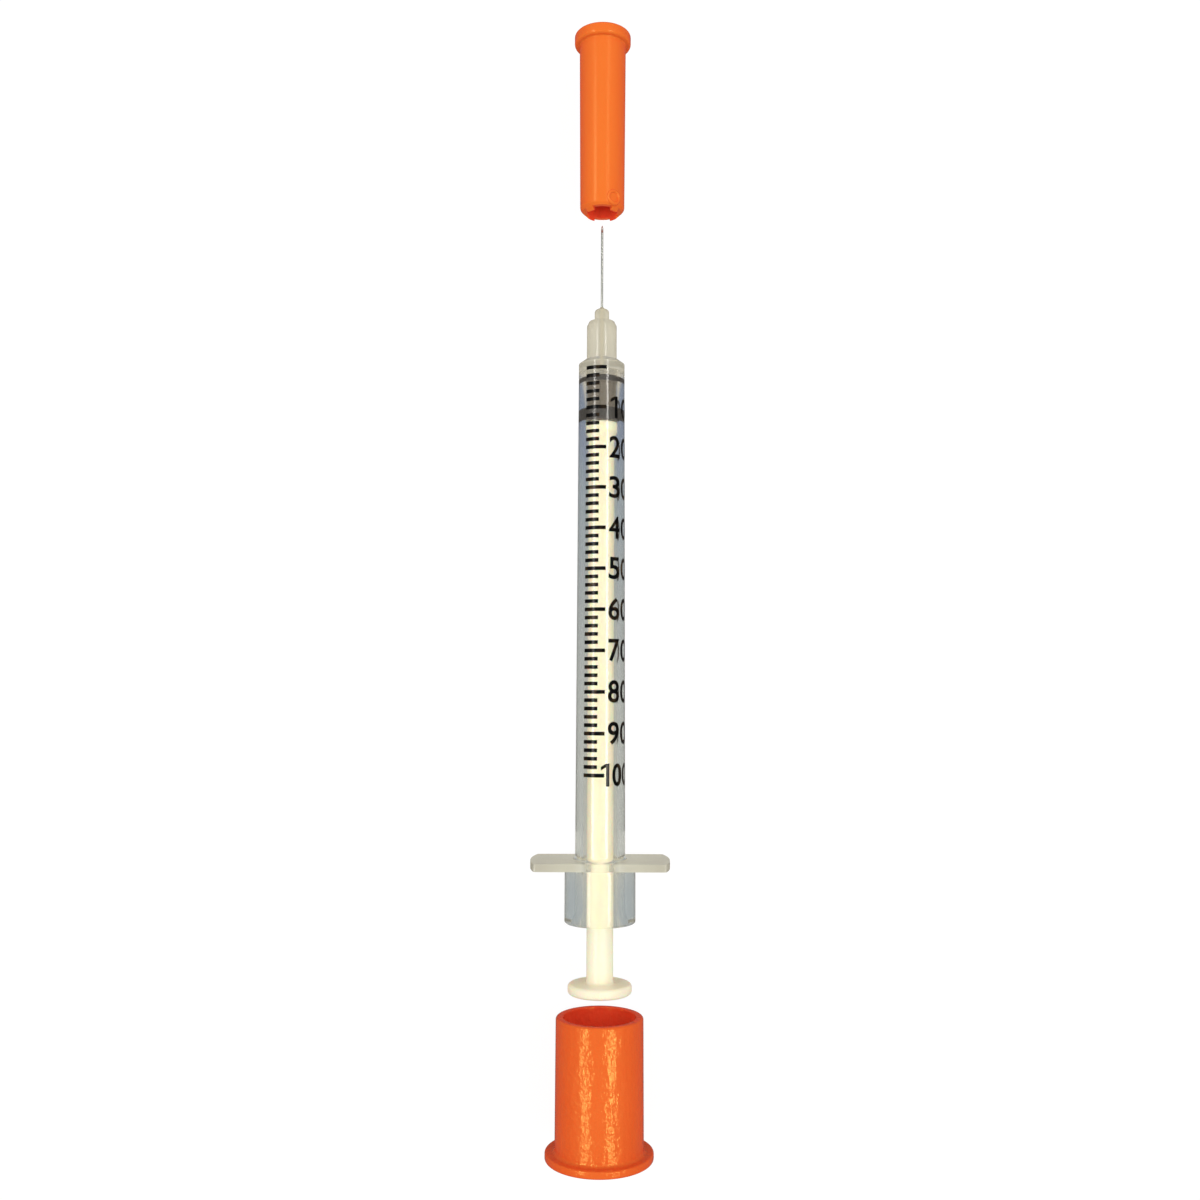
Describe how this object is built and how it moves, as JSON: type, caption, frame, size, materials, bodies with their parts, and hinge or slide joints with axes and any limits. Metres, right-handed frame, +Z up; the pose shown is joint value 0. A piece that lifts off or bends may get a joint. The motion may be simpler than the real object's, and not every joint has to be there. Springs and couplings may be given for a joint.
{
  "type": "insulin syringe",
  "caption": "Insulin syringe with a clear barrel, fixed needle, finger flange and rubber-tipped plunger, laid in line with its needle cap and plunger cap taken off.",
  "frame": {"origin": "middle of the whole row's length and width, on the surface that it lies on", "axes": "+Z up through the scale; +Y along the syringe's axis toward the needle; +X across the finger flange"},
  "size_m": [0.0196, 0.1608, 0.015],
  "materials": {
    "barrel_clear": "clear, polished",
    "needle_steel": "satin",
    "adhesive": "cloudy, gloss",
    "rod_cream": "satin",
    "stopper_rubber": "satin",
    "cap_orange": "semi-gloss",
    "scale_ink": "matte"
  },
  "bodies": {
    "barrel": {"barrel": "barrel_clear", "needle_cannula": "needle_steel", "needle_adhesive": "adhesive"},
    "plunger": {"plunger_rod": "rod_cream", "plunger_stopper": "stopper_rubber"},
    "needle_cap": {"needle_cap": "cap_orange"},
    "plunger_cap": {"plunger_cap": "cap_orange"}
  },
  "joints": [
    {"name": "plunger_slide", "type": "slide", "parent": "barrel", "child": "plunger", "axis": [0, 1, 0], "range_m": [-0.05676, 0.00084]},
    {"name": "needle_cap_slide", "type": "slide", "parent": "barrel", "child": "needle_cap", "axis": [0, 1, 0], "range_m": [-0.0217, 0]},
    {"name": "plunger_cap_slide", "type": "slide", "parent": "plunger", "child": "plunger_cap", "axis": [0, 1, 0], "range_m": [0, 0.01953]}
  ]
}
